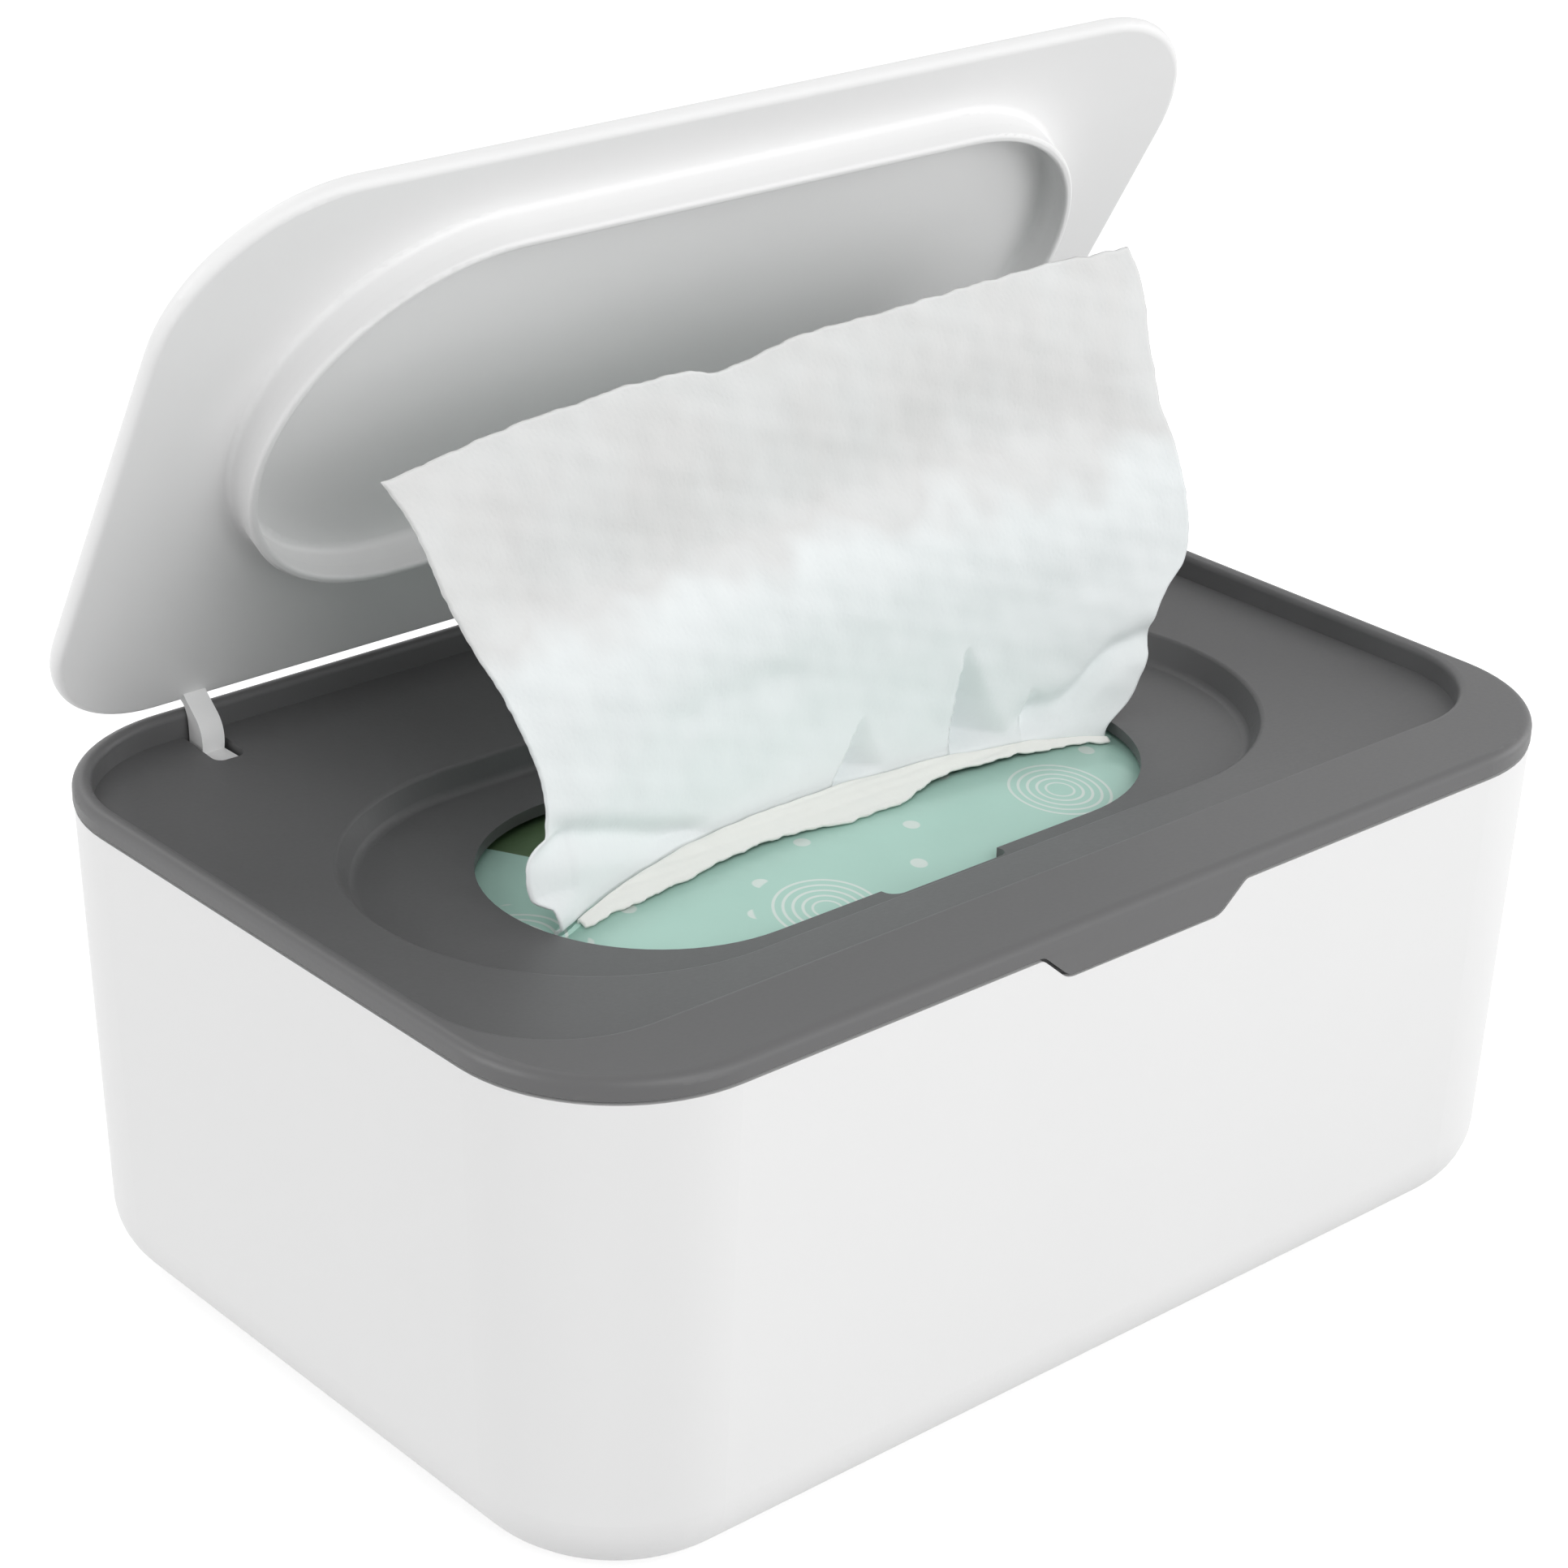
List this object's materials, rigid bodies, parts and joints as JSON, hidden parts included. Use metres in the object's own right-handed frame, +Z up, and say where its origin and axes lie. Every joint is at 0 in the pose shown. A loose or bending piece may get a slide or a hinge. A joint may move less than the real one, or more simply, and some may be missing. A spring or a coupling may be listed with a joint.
{
  "type": "wipes box",
  "caption": "Lidded tabletop box for baby wipes: drafted tub, dished top with a dispensing mouth, hinged lid with a sealing ring, and a film refill with a wipe pulled up.",
  "frame": {"origin": "middle of the four feet, on the surface that they stand on", "axes": "+Z up, -Y to the front with the lifting tab, +X to the right seen from the front"},
  "size_m": [0.192, 0.1333, 0.1703],
  "materials": {
    "white_shell": "satin",
    "grey_shell": "satin",
    "white_lid": "satin",
    "pale_silicone": "soft satin",
    "steel_pin": "drawn",
    "foot_rubber": "matte",
    "mint_film": "soft gloss film",
    "stacked_wipes": "damp non-woven",
    "wipe_cloth": "damp non-woven",
    "next_cloth": "damp non-woven"
  },
  "bodies": {
    "box": {"box_body": "white_shell", "top_frame": "grey_shell", "hinge_pin_left": "steel_pin", "hinge_pin_right": "steel_pin", "foot_front_left": "foot_rubber", "foot_front_right": "foot_rubber", "foot_rear_left": "foot_rubber", "foot_rear_right": "foot_rubber", "refill_pouch": "mint_film", "wipe_stack": "stacked_wipes", "raised_wipe": "wipe_cloth", "next_wipe": "next_cloth"},
    "lid": {"lid": "white_lid", "lid_seal": "pale_silicone"}
  },
  "joints": [
    {"name": "lid_hinge", "type": "hinge", "parent": "box", "child": "lid", "pos_m": [0, 0.0635, 0.07125], "axis": [1, 0, 0], "range_deg": [0, 60.4], "deforming": ["raised_wipe"]}
  ]
}
